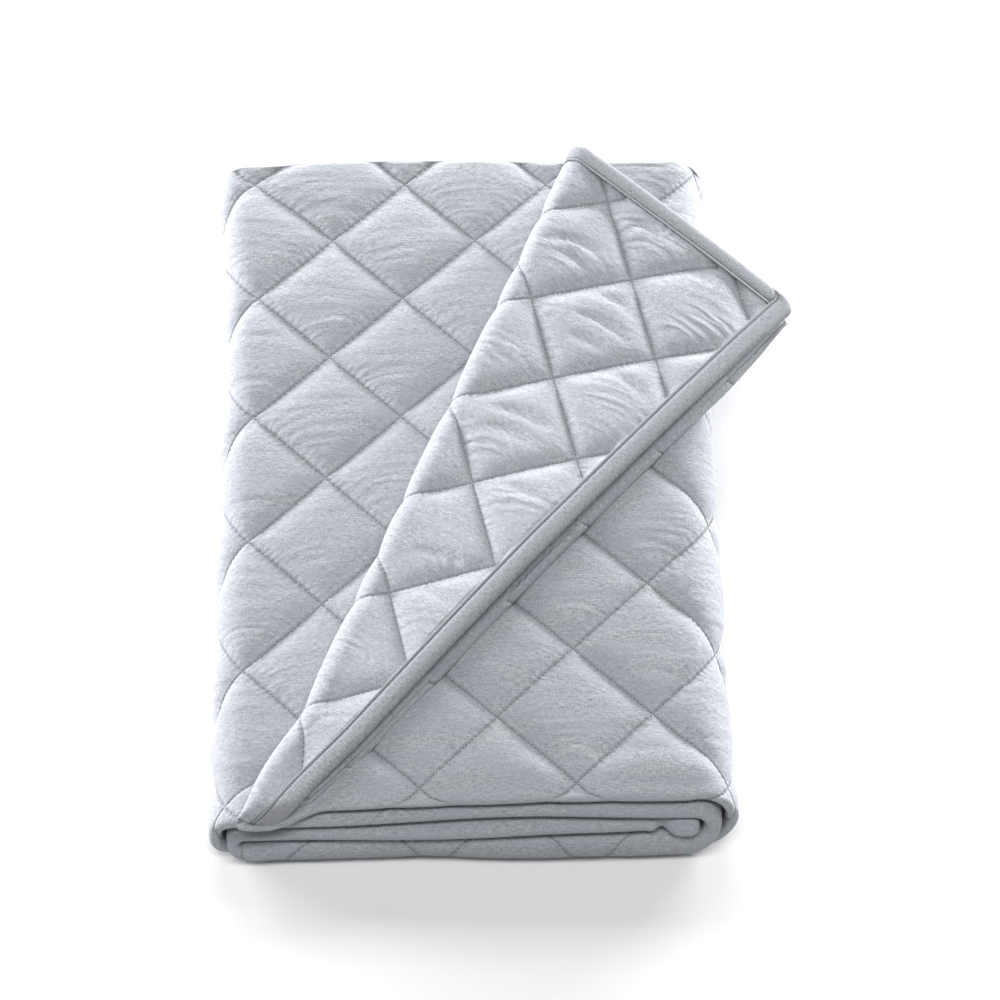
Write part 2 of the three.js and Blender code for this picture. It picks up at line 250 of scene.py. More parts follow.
def section(row):
    """One group of rows as the points of the outer and inner face, the seams' coordinates and the
    cloth's. The outer face is HALF off the middle less the depth of the puffs and creases, each
    free edge is half round, and the front fold is half round, thicker by the row's plump, gaping
    by its bulb and lower by its drop on its upper side."""
    upper, under = places(row["upper"]), places(row["under"])
    flat = np.concatenate([
        upper[:, ::-1],
        np.broadcast_to(HALF - HALF * (math.pi / 2 - nose_turn), (len(upper), NOSE - 1)),
        (2 - math.pi) * HALF - under,
    ], -1)
    side = np.concatenate([np.zeros(ACROSS + 1), (1 - np.sin(nose_turn)) / 2, np.ones(ACROSS + 1)])
    a, b, shown, grain = row["seams"](flat, side)
    loft = puffed(a, b)
    draw = PUFF * (1 - loft)
    bulb = row["bulb"]
    inset = row["inset"]

    # the upper ply
    t = upper[:, ::-1]
    thick = rounded(np.minimum(row["upper"] - t, inset))
    near = row["nose"] + (row["upper_puff"] - row["nose"]) * smooth(t, HALF, UPPER_FULL)
    swell = row["plump"] * (1 - smooth(t, *PLUMP_OVER))
    gape = bulb * (1 - smooth(t, *BULB_OVER))
    on_upper = slice(0, ACROSS + 1)
    creases = row["upper_crease"](t, a[:, on_upper], b[:, on_upper])
    depth = draw[:, on_upper] * near + creases * loft[:, on_upper]
    lower = row["drop"] * (1 - smooth(t, 0, DROP_OVER))
    upper_out = MIDDLE + gape + (HALF + swell - lower - MIDDLE - depth) * thick
    upper_in = MIDDLE + gape - (MIDDLE - SLIT) * thick

    # the front fold
    on_nose = slice(ACROSS + 1, ACROSS + NOSE)
    out = HALF + row["plump"] - row["nose"] * draw[:, on_nose] * (1 - side[on_nose])
    thick = rounded(inset)
    out = MIDDLE + (out - MIDDLE) * thick
    into = MIDDLE - (MIDDLE - SLIT) * thick
    at_nose = HALF - out * nose_out
    lower = row["drop"] * (1 - smooth(at_nose, 0, DROP_OVER)) * (nose_up > 0)
    outer_nose = (at_nose, bulb / 2 + (out - lower + bulb / 2) * nose_up)
    inner_nose = (HALF - into * nose_out, bulb / 2 + (into + bulb / 2) * nose_up)

    # the under ply, pressed by the tape along its edge
    t2 = under
    from_edge = np.minimum(row["under"] - t2, inset)
    near = row["under_puff"] * smooth(t2, HALF, UNDER_FULL)
    on_under = slice(ACROSS + NOSE, None)
    depth = draw[:, on_under] * near + row["under_crease"](t2) * loft[:, on_under]
    past_tape = np.maximum(from_edge - TAPE_WIDTH, 0)
    held = HELD * np.exp(-past_tape / HELD_OVER)
    held = held + GATHER * np.exp(-past_tape / GATHER_OVER) * gathered(row["along_tape"](t2))
    lofted = np.where(from_edge > TAPE_WIDTH, np.minimum(HALF - depth, HALF - held), MARGIN)
    swell = row["plump"] * (1 - smooth(t2, *PLUMP_OVER))
    under_out = -(MIDDLE + (lofted + swell - MIDDLE) * rounded(from_edge))
    under_in = -(MIDDLE - (MIDDLE - SLIT) * rounded(from_edge))

    run = np.concatenate([t, outer_nose[0] + 0 * inset, t2], -1)
    outer = row["at"](run, np.concatenate([upper_out, outer_nose[1] + 0 * inset, under_out], -1), side)
    run = np.concatenate([t, inner_nose[0] + 0 * inset, t2], -1)
    inner = row["at"](run, np.concatenate([upper_in, inner_nose[1] + 0 * inset, under_in], -1), side)
    seam = np.stack(np.broadcast_arrays((a + b) / DIAMOND, (a - b) / DIAMOND, shown), -1)
    cloth = np.stack(np.broadcast_arrays(*grain), -1)
    return outer, inner, seam, cloth


def layer_rows(x, z, nx, nz, front, back, along, seams_at, puff=0, seen=0, nose=0, bulb=0, inner=1,
               inset=99, plump=PLUMP, drop=0, crease=None, tucks=0):
    """Rows of a layer or a bend, at (x, z) with the upper ply on the side of the normal (nx, nz);
    along is the distance over the cloth that the seams are counted in, seen is how plainly they
    show, nose the depth that they draw the front fold in by, and inner the under ply's loft."""
    values = (x, z, nx, nz, front, back, along, puff, seen, nose, bulb, inner, inset, plump, drop, tucks)
    x, z, nx, nz, front, back, along, puff, seen, nose, bulb, inner, inset, plump, drop, tucks = (
        np.broadcast_to(v, np.shape(x)).astype(float)[:, None] for v in values)
    start = front + FRONT_WAVE[0] * np.sin(2 * math.pi * (x / FRONT_WAVE[1] + z / PITCH / 3))

    def seams(flat, side):
        """Seam and weave coordinates: along the row, and back from its front fold, with the seams
        drawn outwards by PULL at the left front corner; they fade out under the front fold."""
        y = start + flat
        pulled = along + PULL * smooth(-y, 210, 345) * smooth(-along, 120, 215)
        a, b = turned(pulled - seams_at[0], y - seams_at[1], seams_at[2])
        on_nose = np.minimum(nose / ON_NOSE, 1)
        shown = seen * (on_nose + (1 - on_nose) * smooth(flat, 0, 14)) * smooth(flat, -40, -20)
        return a, b, shown, (along + 0 * flat, y, 0 * flat)

    def at(t, n, side):
        """Point t behind the front fold and n off the cloth's middle, along the row's normal."""
        n = np.where(n < 0, n * inner, n)
        return settled(x + n * nx, start + t, z + n * nz)

    def upper_crease(t, a, b):
        """The side's gathers and the squares' troughs, or none on a hidden row."""
        return crease(along, start + t) + ARCH * arched(a, b) if crease else 0 * t

    return {
        "at": at, "upper": back - start, "under": back - start + UNDER_PAST, "bulb": bulb, "inset": inset,
        "seams": seams, "nose": nose, "plump": plump, "drop": drop, "upper_puff": puff, "under_puff": 0.0,
        "upper_crease": upper_crease,
        "under_crease": lambda t: -tucks * (1 - smooth(t, 10, 60)) * (0.6 + 0.4 * gathered(1.6 * t)),
        "along_tape": lambda t: along + 0 * t,
    }


def foot_y(t, longer):
    """Place t behind the front fold, which comes forward by longer at the foot of the corner."""
    return TOP_FRONT + t - longer * (1 - smooth(t, 0, 120))


def top_rows(past, inset, longer, beyond=FLAP_PAST, drop=0.0, crease=None, flap_crease=None):
    """Rows of the top layer and its turned corner; past(y, under) is how far beyond the fold line
    each is, inset how far in from the free end, and beyond how much further back the under ply
    reaches than in the other layers."""
    inset = inset[:, None].astype(float)
    depth = np.full(inset.shape, TOP_BACK - TOP_FRONT)
    under = depth + UNDER_PAST + beyond

    def seams(flat, side):
        """Seam and weave coordinates, as in layer_rows, with the turned corner's own on the under
        ply (side 1), where they start at the fold line."""
        y = TOP_FRONT + flat
        upper_x = fold_x(y) - past(y, 0) / math.cos(FOLD_ANGLE)
        upper_a, upper_b = turned(upper_x - LAYER_4_SEAMS[0], y - LAYER_4_SEAMS[1], LAYER_4_SEAMS[2])
        y = TOP_FRONT + np.where(side == 1, (2 - math.pi) * HALF - flat, flat)
        under_x = fold_x(y) - past(y, 1) / math.cos(FOLD_ANGLE)
        under_a, under_b = turned(under_x - FLAP_SEAMS[0], y - FLAP_SEAMS[1], FLAP_SEAMS[2])
        shown = np.where(side == 1, smooth(past(y, 1), -5, 5), smooth(flat, -8, 4) * np.ones_like(inset))
        a, b = np.where(side == 1, under_a, upper_a), np.where(side == 1, under_b, upper_b)
        grain_x, grain_y = np.where(side == 1, under_a, upper_x), np.where(side == 1, under_b, y)
        return a, b, shown, (grain_x, grain_y, TURNED_WEAVE * (side == 1))

    def at(t, n, side):
        """Point t behind the front fold and n off the cloth's middle, turned back at the fold line."""
        y = foot_y(t, longer)
        return settled(*turned_back(y, past(y, side), n, side))

    def upper_crease(t, a, b):
        """The side's gathers and the squares' troughs, or none past the fold line."""
        y = TOP_FRONT + t
        return crease(fold_x(y) - past(y, 0), y) + ARCH * arched(a, b) if crease else 0 * t

    def under_crease(t):
        """Creases of the turned corner, read where it lies face up, or none before the fold line."""
        if flap_crease is None:
            return 0 * t
        y = foot_y(t, longer)
        w = past(y, 1)
        flat_x, flat_y, _ = turned_back(y, w, 0 * w, 1)
        return creased(flat_x, flat_y, flap_crease) * smooth(w, 0, HALF_TURN)

    w = past(TOP_FRONT + places(under), 1)
    return {
        "at": at, "upper": depth, "under": under, "bulb": 0 * inset, "inset": inset,
        "seams": seams, "nose": 2 * ON_NOSE, "plump": PLUMP, "drop": drop, "upper_puff": 1.0,
        "upper_crease": upper_crease, "under_crease": under_crease,
        "under_puff": smooth(w, -12, 12) * (0.5 + 0.5 * smooth(w, 0.6 * HALF_TURN, HALF_TURN + 25)),
        "along_tape": lambda t: np.where(under - t < inset, past(TOP_FRONT + t, 1), TOP_FRONT + t),
    }


def left_crease(a, y):
    """Gathers that run round the left side of the pad, strongest on the bend."""
    return SIDE_GATHER * smooth(-a, 150, 235) * (1 + gathered(y + 0.15 * a)) / 2


def right_crease(a, y):
    """Gathers that run round the right side of the pad, strongest on the bend."""
    return SIDE_GATHER * smooth(a, 140, 220) * (1 + gathered(y - 0.2 * a)) / 2


def turn_rows(turn, layers, square, steps, recede, along, seams_at, bulbs=(0, 0), corner=0.0, **looks):
    """A bend from one layer to another: half of a superellipse about the place turn, with the radius
    times the cosine and sine to the power square as its coordinates. looks holds functions of the
    share of the bend that lies behind, for layer_rows. Its front and back edges pass from one
    layer's to the other's between the shares recede, and its back corner recedes by corner, most
    at half way."""
    first, last = layers
    up = 1 if first > last else -1
    radius, z = abs(first - last) * PITCH / 2, HALF + (first + last) * PITCH / 2
    share = np.arange(steps) / steps
    angle = up * math.pi / 2 + math.pi * share
    ease = smooth(share, *recede)
    cos, sin = np.cos(angle), np.sin(angle)
    nx, nz = np.sign(cos) * np.abs(cos) ** (2 - square), np.sign(sin) * np.abs(sin) ** (2 - square)
    length = np.hypot(nx, nz)
    crease = looks.pop("crease", None)
    return layer_rows(
        turn + radius * np.sign(cos) * np.abs(cos) ** square,
        z + radius * np.sign(sin) * np.abs(sin) ** square, nx / length, nz / length,
        FRONTS[first] + (FRONTS[last] - FRONTS[first]) * ease,
        BACKS[first] + (BACKS[last] - BACKS[first]) * ease - corner * np.sin(math.pi * share) ** 4,
        along(share, (radius + HALF) * math.pi), seams_at,
        bulb=np.where(share < 0.5, bulbs[0], bulbs[1]) * (1 - 2 * share) ** 2, crease=crease,
        **{key: look(share) for key, look in looks.items()},
    )


def flat_rows(x, layer, up, seams_at, bow=0.0, **looks):
    """A layer: straight across the pad at its level, with its back edge moved out by bow."""
    z = HALF + layer * PITCH
    return layer_rows(x, z, 0, up, FRONTS[layer], BACKS[layer] + bow, x, seams_at, **looks)


def wrapped(s):
    """Loft of a wrap's under ply: PRESSED at half way round the bend, and full at its ends."""
    return 1 - (1 - PRESSED) * smooth(s, 0, 0.45) * (1 - smooth(s, 0.55, 1))


def there_and_back(s):
    """Share of a bend's arc from its nearer end, so that the weave meets both layers."""
    return 0.5 - np.abs(s - 0.5)


# The layers from the inner end of the cloth, with the bend at the end of each
INNER_END, LEFT_INNER, RIGHT_INNER, LEFT, RIGHT = 213.0, -216.0, 206.0, -213.0, 203.0
FRONTS = {2: -356.5, 1: -361.0, 3: -349.0, 0: -346.0, 4: TOP_FRONT}
BACKS = {2: 428.0, 1: 428.0, 3: 440.0, 0: 438.0, 4: TOP_BACK}
BACK_OUT = 6.0  # layer 3 bows out by this between its back corner and the turned one
LEFT_CORNER, RIGHT_CORNER = 5.0, 3.0  # how far the wraps recede at their back corners
BALL, DENT_WIDE = 4.0, 6.0  # the cloth's inner end is fuller, with two dents beside it
DENTS = ((180.0, 7.0), (162.0, 2.0))  # their places and depths
TUCK = 4.0  # depth of the tucks inside the right turn
PRESSED = 0.5  # the under ply is pressed against what lies inside a turn
from_end = np.concatenate([
    NEAR_EDGE[::-1], np.arange(10.5, 46, 2.5), np.linspace(48, INNER_END - LEFT_INNER, 12, endpoint=False)])
inner_x = INNER_END - from_end
crumpled = sum(deep * np.exp(-(((inner_x - place) / DENT_WIDE) ** 2)) for place, deep in DENTS)
ball = BALL * smooth(inner_x, 180, 196)
layer_3_x = np.linspace(140, LEFT, 76, endpoint=False)
layer_3_bow = BACK_OUT * smooth(-layer_3_x, -120, 0) * (1 - smooth(-layer_3_x, 140, -LEFT))
# each group: rows, and every how many places across are kept on the upper and the under ply
groups = [
    (layer_rows(inner_x, HALF + 2 * PITCH, 0, 1, FRONTS[2] + crumpled, BACKS[2], inner_x, INNER_SEAMS,
                inset=0.6 * from_end, plump=PLUMP + ball), 4, 4),
    (turn_rows(LEFT_INNER, (2, 1), square=1, steps=12, recede=(0, 1), seams_at=INNER_SEAMS,
               along=lambda s, arc: LEFT_INNER - arc * there_and_back(s), bulbs=(0, BULB),
               seen=lambda s: s, nose=lambda s: ON_NOSE * s,
               inner=lambda s: 1 - (1 - PRESSED) * np.sin(math.pi * s)), 4, 4),
    (flat_rows(np.linspace(LEFT_INNER, RIGHT_INNER, 28, endpoint=False), 1, -1, INNER_SEAMS,
               seen=1, nose=ON_NOSE, bulb=BULB), 4, 4),
    (turn_rows(RIGHT_INNER, (1, 3), square=0.9, steps=20, recede=(0, 1), seams_at=INNER_SEAMS,
               along=lambda s, arc: RIGHT_INNER + arc * there_and_back(s), bulbs=(BULB, 0),
               seen=lambda s: 1 - smooth(s, 0.1, 0.5),
               nose=lambda s: ON_NOSE * (1 - smooth(s, 0.1, 0.6)),
               tucks=lambda s: TUCK * np.sin(math.pi * s) * (1 + np.sin(19 * s)) / 2), 4, 4),
    (flat_rows(np.linspace(RIGHT_INNER, 140, 4, endpoint=False), 3, 1, LAYER_3_SEAMS), 4, 4),
    (flat_rows(layer_3_x, 3, 1, LAYER_3_SEAMS, bow=layer_3_bow,
               puff=1, seen=1, crease=left_crease), 1, 4),
    (turn_rows(LEFT, (3, 0), square=0.78, steps=28, recede=(0.75, 1), seams_at=LAYER_3_SEAMS,
               along=lambda s, arc: LEFT - arc * s, corner=LEFT_CORNER, crease=left_crease,
               inner=wrapped, puff=lambda s: 1 - smooth(s, 0.6, 0.95),
               seen=lambda s: 1 - smooth(s, 0.7, 0.95), nose=lambda s: ON_NOSE * smooth(s, 0, 0.15),
               plump=lambda s: PLUMP * (1 - smooth(s, 0, 0.5))), 1, 4),
    (flat_rows(np.linspace(LEFT, RIGHT, 10, endpoint=False), 0, -1, LAYER_3_SEAMS, plump=0), 4, 4),
    (turn_rows(RIGHT, (0, 4), square=0.78, steps=34, recede=(0, 0.3), seams_at=LAYER_4_SEAMS,
               along=lambda s, arc: RIGHT + arc * (1 - s), corner=RIGHT_CORNER, crease=right_crease,
               inner=wrapped, puff=lambda s: smooth(s, 0.05, 0.4),
               seen=lambda s: smooth(s, 0.05, 0.3), nose=lambda s: 2 * ON_NOSE * smooth(s, 0.05, 0.6),
               plump=lambda s: PLUMP * smooth(s, 0.5, 1), drop=lambda s: DROP * smooth(s, 0.5, 1)), 1, 4),
]

to_fold = np.linspace(1, 0, 78, endpoint=False)[:, None]
round_fold = np.linspace(0, 1, 14, endpoint=False)[:, None]
on_flap = np.linspace(0, 1, 58, endpoint=False)[:, None]
end_insets = np.array([18, 15, 12, 9, 6.5, 4.5, 3, 1.6, 0.6, 0.0])


def bend_stop(y, under):
    """Where the half turn ends, short of it where the turned corner is narrow."""
    return np.minimum(HALF_TURN, 0.8 * (reach(y, under) - TAPE_WIDTH))


def over_flap(y, under):
    """Rows from the end of the half turn to the tape."""
    return bend_stop(y, under) + (reach(y, under) - TAPE_WIDTH - bend_stop(y, under)) * on_flap


def far(steps):
    """An inset for each row that is out of reach of the free end."""
    return np.full(len(steps), 99.0)


groups += [
    (top_rows(lambda y, u: to_fold * (fold_x(y) - RIGHT) * math.cos(FOLD_ANGLE), far(to_fold),
              FOOT_LONGER * (1 - smooth(to_fold, 0, 0.12)), 0.0, DROP * smooth(to_fold, 0, 0.12),
              crease=right_crease), 1, 4),
    (top_rows(lambda y, u: round_fold * bend_stop(y, u), far(round_fold), FOOT_LONGER,
              FLAP_PAST * smooth(round_fold, 0, 1), flap_crease=FLAP_CREASES), 2, 1),
    (top_rows(over_flap, far(on_flap), FOOT_LONGER, flap_crease=FLAP_CREASES), 2, 1),
    (top_rows(lambda y, u: reach(y, u) - end_insets[:, None], end_insets, FOOT_LONGER), 1, 1),
]


def columns(upper_step, under_step):
    """The places that a group of rows keeps, out of all that section() gives, ply by ply."""
    fold_end = ACROSS + NOSE
    return (np.arange(0, ACROSS + 1, upper_step), np.arange(ACROSS, fold_end + 1),
            np.arange(fold_end, fold_end + ACROSS + 1, under_step))


def between(a, b):
    """Triangles of the strip between two lines of points, where each step of one line faces the
    same whole number of steps of the other: a pair to each step, or a fan to each longer one."""
    if len(a) < len(b):
        return between(b[::-1], a[::-1])
    fan = (len(a) - 1) // (len(b) - 1)
    k = np.arange(len(a) - 1)
    j = np.arange(len(b) - 1)
    return np.concatenate([
        np.stack([a[k], b[k // fan], a[k + 1]], -1),
        np.stack([a[(j + 1) * fan], b[j], b[j + 1]], -1),
    ])


def lattice(numbers):
    """Triangles of a grid of points, two to each cell, with the diagonals turned by turns."""
    p, q, r, s = numbers[:-1, :-1], numbers[1:, :-1], numbers[1:, 1:], numbers[:-1, 1:]
    odd = (np.add.outer(np.arange(len(p)), np.arange(p.shape[1])) % 2).astype(bool)
    first = np.where(odd[..., None], np.stack([p, q, r], -1), np.stack([p, q, s], -1))
    second = np.where(odd[..., None], np.stack([p, r, s], -1), np.stack([q, r, s], -1))
    return np.concatenate([first.reshape(-1, 3), second.reshape(-1, 3)])


# Inner faces keep few places, closer at the free edges and near the front fold
fold_end = ACROSS + NOSE
inner_parts = [np.arange(0, 17, 2), np.arange(16, 129, 16), np.arange(128, ACROSS + 1, 4),
               np.arange(ACROSS, fold_end + 1, 3), np.arange(fold_end, fold_end + 33, 4),
               np.arange(fold_end + 32, fold_end + 145, 16),
               np.arange(fold_end + 144, fold_end + ACROSS + 1, 2)]
inner_columns = np.unique(np.concatenate(inner_parts))

# The outer face, group by group, each joined to the one before it
points, seam_values, cloth_values, faces, inner_rows = [], [], [], [], []
count = 0
last_parts = None
rim_back, rim_under = [], []
for row, upper_step, under_step in groups:
    outer, inner, seam, cloth = section(row)
    kept = columns(upper_step, under_step)
    used = np.unique(np.concatenate(kept))
    numbers = count + np.arange(outer.shape[0] * len(used)).reshape(outer.shape[0], -1)
    at = {column: k for k, column in enumerate(used)}
    parts = [numbers[:, [at[c] for c in part]] for part in kept]
    faces.append(lattice(numbers))
    if last_parts is not None:
        faces += [between(p[-1], q[0]) for p, q in zip(last_parts, parts)]
    else:
        first_numbers = dict(zip(used, numbers[0]))
    last_parts = parts
    last_numbers = dict(zip(used, numbers[-1]))
    rim_back.append(numbers[:, 0])
    rim_under.append(numbers[:, -1])
    points.append(outer[:, used].reshape(-1, 3))
    seam_values.append(seam[:, used].reshape(-1, 3))
    cloth_values.append(cloth[:, used].reshape(-1, 3))
    inner_rows.append((inner[:, inner_columns], seam[:, inner_columns], cloth[:, inner_columns]))
    count += numbers.size

# The inner face, and the rims that join it to the outer one on all four edges
inside, inside_seam, inside_cloth = (np.concatenate(v) for v in zip(*inner_rows))
inside_seam[..., 2] = 0
numbers = count + np.arange(inside.shape[0] * inside.shape[1]).reshape(inside.shape[:2])
faces.append(lattice(numbers)[:, ::-1])
faces.append(between(numbers[:, 0], np.concatenate(rim_back)))
faces.append(between(np.concatenate(rim_under), numbers[:, -1]))
at = {column: k for k, column in enumerate(inner_columns)}
for part in inner_parts:
    line = numbers[:, [at[c] for c in part]]
    outer_line = range(part[0], part[-1] + 1)
    start_line = np.array([first_numbers[c] for c in outer_line if c in first_numbers])
    end_line = np.array([last_numbers[c] for c in outer_line if c in last_numbers])
    faces.append(between(line[0], start_line))
    faces.append(between(end_line, line[-1]))
points.append(inside.reshape(-1, 3))
seam_values.append(inside_seam.reshape(-1, 3))
cloth_values.append(inside_cloth.reshape(-1, 3))


def piece(name, points, faces, attributes):
    """A smooth mesh object at the origin, with its named vectors on its points."""
    mesh = bpy.data.meshes.new(name)
    mesh.from_pydata(points, [], faces)
    for key, values in attributes.items():
        layer = mesh.attributes.new(key, "FLOAT_VECTOR", "POINT")
        layer.data.foreach_set("vector", values.astype(np.float32).ravel())
    mesh.shade_smooth()
    made = bpy.data.objects.new(name, mesh)
    bpy.context.scene.collection.objects.link(made)
    return made


quilt = piece("quilted_cloth", np.concatenate(points), np.concatenate(faces),
              {"seam": np.concatenate(seam_values), "cloth": np.concatenate(cloth_values)})


def linear(code):
    """An sRGB hex colour as the linear RGBA that Blender's sockets take."""
    srgb = [int(code[i : i + 2], 16) / 255 for i in (1, 3, 5)]
    return [c / 12.92 if c <= 0.04045 else ((c + 0.055) / 1.055) ** 2.4 for c in srgb] + [1.0]


def add(tree, kind, inputs=(), **settings):
    """A node of a kind with its settings; inputs maps sockets to values, or to outputs to link."""
    made = tree.nodes.new("ShaderNode" + kind)
    for key, value in settings.items():
        setattr(made, key, value)
    for socket, value in dict(inputs).items():
        if isinstance(value, bpy.types.NodeSocket):
            tree.links.new(value, made.inputs[socket])
        else:
            made.inputs[socket].default_value = value
    return made


# Heathered cotton, a plain weave of pale yarns with a few dark and blue fibres: matt, with short
# streaks along the threads, soft bluish patches, and sunk grey stitches with small puckers. The
# stitches' dark dashes are partly their grey thread and partly painted shade of the hollows they sink into.
THREAD_LONG, THREAD_WIDE = 7.0, 1.3  # the yarn is 0.4 mm, too fine to show, so drawn coarser
STITCH, PUCKER = 4.4, 8.0  # length of a stitch, and of a pucker beside the seam
SIDE = DIAMOND / math.sqrt(2)
cotton = bpy.data.materials.new("heathered_cotton")
cotton.use_nodes = True
tree = cotton.node_tree
shader = tree.nodes["Principled BSDF"]
cloth = add(tree, "Attribute", attribute_name="cloth").outputs["Vector"]
seam = add(tree, "Attribute", attribute_name="seam").outputs["Vector"]
seam = add(tree, "SeparateXYZ", {0: seam}).outputs

lines, dips, puckers = [], [], []
for across, along in ((seam[0], seam[1]), (seam[1], seam[0])):
    share = add(tree, "Math", {0: across, 1: 0.5}, operation="PINGPONG").outputs[0]
    d = add(tree, "Math", {0: share, 1: SIDE}, operation="MULTIPLY").outputs[0]
    line = add(tree, "MapRange", {0: d, 1: 0.3, 2: 0.95, 3: 1.0, 4: 0.0}).outputs[0]
    count_up = add(tree, "Math", {0: along, 1: SIDE / STITCH}, operation="MULTIPLY").outputs[0]
    beat = add(tree, "Math", {0: count_up, 1: 0.5}, operation="PINGPONG").outputs[0]
    dash = add(tree, "MapRange", {0: beat, 1: 0.12, 2: 0.24, 3: 0.3, 4: 1.0}).outputs[0]
    lines.append(add(tree, "Math", {0: line, 1: dash}, operation="MULTIPLY").outputs[0])
    near = {0: d, 1: 0.0, 2: 3.0, 3: 1.0, 4: 0.0}
    dips.append(add(tree, "MapRange", near, interpolation_type="SMOOTHSTEP").outputs[0])
    near = add(tree, "MapRange", {**near, 2: 13.0}, interpolation_type="SMOOTHSTEP").outputs[0]
    puckers.append((near, along))
# the stitches' dashes, darkened below as grey thread plus painted shade of their hollows
stitch_thread_and_shade = add(tree, "Math", {0: lines[0], 1: lines[1]}, operation="MAXIMUM").outputs[0]
stitch_thread_and_shade = add(tree, "Math", {0: stitch_thread_and_shade, 1: seam[2]}, operation="MULTIPLY").outputs[0]
groove = add(tree, "Math", {0: dips[0], 1: dips[1]}, operation="MAXIMUM").outputs[0]
groove = add(tree, "Math", {0: groove, 1: seam[2]}, operation="MULTIPLY").outputs[0]

noises = {}
grains = (("weft", THREAD_LONG, THREAD_WIDE, 2), ("warp", THREAD_WIDE, 0.6 * THREAD_LONG, 2),
          ("flecks", 3.0, 1.4, 1), ("patches", 70, 22, 2), ("wrinkles", 80, 15, 1), ("nap", 5, 5, 2),
          ("swells", 75, 60, 0))  # name, length and width in mm, and levels of detail
for name, long, wide, detail in grains:
    place = add(tree, "Mapping", {"Vector": cloth, "Scale": (1 / long, 1 / wide, 1)}).outputs[0]
    noises[name] = add(tree, "TexNoise", {"Vector": place, "Scale": 1.0, "Detail": detail}).outputs[0]
weave = add(tree, "Mix", {0: 0.45, 2: noises["weft"], 3: noises["warp"]}).outputs[0]
yarns = add(tree, "ValToRGB", {0: weave})
for stop, share, colour in zip(yarns.color_ramp.elements, (0.32, 0.68), ("#7e8187", "#b1b3b7")):
    stop.position, stop.color = share, linear(colour)
blue = add(tree, "MapRange", {0: noises["patches"], 1: 0.42, 2: 0.68, 3: 0.0, 4: 0.6}).outputs[0]
tinted = add(tree, "Mix", {0: blue, 6: yarns.outputs[0], 7: linear("#9599a2")}, data_type="RGBA").outputs[2]
speck = add(tree, "MapRange", {0: noises["flecks"], 1: 0.64, 2: 0.74, 3: 0.0, 4: 0.45}).outputs[0]
specked = add(tree, "Mix", {0: speck, 6: tinted, 7: linear("#71747a")}, data_type="RGBA").outputs[2]
# painted shade: the dashes are darkened past the thread's own grey, as the shadow of the hollow each stitch
# sinks into
thread_and_painted_shade = add(tree, "Math", {0: stitch_thread_and_shade, 1: 0.7}, operation="MULTIPLY").outputs[0]
coloured = add(tree, "Mix", {0: thread_and_painted_shade, 6: specked, 7: linear("#505358")}, data_type="RGBA").outputs[2]
tree.links.new(coloured, shader.inputs["Base Color"])

# uneven wrinkles in rings round the front corner of each square, and small puckers along the seams
RING = 13.0  # from ring to ring
unevenly = add(tree, "Math", {0: noises["patches"], 1: 14.0}, operation="MULTIPLY").outputs[0]
from_left = add(tree, "Math", {0: seam[0]}, operation="FRACT").outputs[0]
from_right = add(tree, "Math", {0: seam[1]}, operation="FRACT").outputs[0]
from_right = add(tree, "Math", {0: 1.0, 1: from_right}, operation="SUBTRACT").outputs[0]
corner = add(tree, "CombineXYZ", {0: from_left, 1: from_right}).outputs[0]
r = add(tree, "VectorMath", {0: corner}, operation="LENGTH").outputs["Value"]
wave = {0: r, 1: SIDE * 2 * math.pi / RING, 2: unevenly}
wave = add(tree, "Math", wave, operation="MULTIPLY_ADD").outputs[0]
ripple = add(tree, "Math", {0: wave}, operation="SINE").outputs[0]
for edge in ({1: 0.1, 2: 0.4, 3: 0.0, 4: 1.0}, {1: 0.65, 2: 1.0, 3: 1.0, 4: 0.0}):
    window = add(tree, "MapRange", {0: r, **edge}, interpolation_type="SMOOTHSTEP").outputs[0]
    ripple = add(tree, "Math", {0: ripple, 1: window}, operation="MULTIPLY").outputs[0]
turned_side = add(tree, "SeparateXYZ", {0: cloth}).outputs[2]
strength = add(tree, "MapRange", {0: turned_side, 1: 0.0, 2: TURNED_WEAVE, 3: 0.3, 4: 1.0}).outputs[0]
mask = add(tree, "MapRange", {0: noises["swells"], 1: 0.42, 2: 0.6, 3: 0.0, 4: 1.0}).outputs[0]
for share in (mask, strength, seam[2]):
    ripple = add(tree, "Math", {0: ripple, 1: share}, operation="MULTIPLY").outputs[0]
for k, (near, along) in enumerate(puckers):
    wave = {0: along, 1: SIDE * 2 * math.pi / PUCKER, 2: unevenly}
    wave = add(tree, "Math", wave, operation="MULTIPLY_ADD").outputs[0]
    pucker = add(tree, "Math", {0: wave}, operation="SINE").outputs[0]
    pucker = add(tree, "Math", {0: pucker, 1: near}, operation="MULTIPLY").outputs[0]
    puckers[k] = add(tree, "Math", {0: pucker, 1: seam[2]}, operation="MULTIPLY").outputs[0]
height = add(tree, "Math", {0: weave, 1: 0.5}, operation="MULTIPLY").outputs[0]
reliefs = ((noises["nap"], 0.45), (noises["wrinkles"], 1.3), (ripple, 0.6), (puckers[0], 0.16),
           (puckers[1], 0.16), (groove, -1.3))  # and how high each stands, in mm
for source, scale in reliefs:
    height = add(tree, "Math", {0: source, 1: scale, 2: height}, operation="MULTIPLY_ADD").outputs[0]
bump = add(tree, "Bump", {"Height": height, "Strength": 1.0, "Distance": 0.001})
tree.links.new(bump.outputs[0], shader.inputs["Normal"])
shader.inputs["Roughness"].default_value = 0.95
shader.inputs["Specular IOR Level"].default_value = 0.2
shader.inputs["Sheen Weight"].default_value = 0.12
shader.inputs["Sheen Roughness"].default_value = 0.5
quilt.data.materials.append(cotton)
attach(quilt, "root")
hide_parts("quilt")


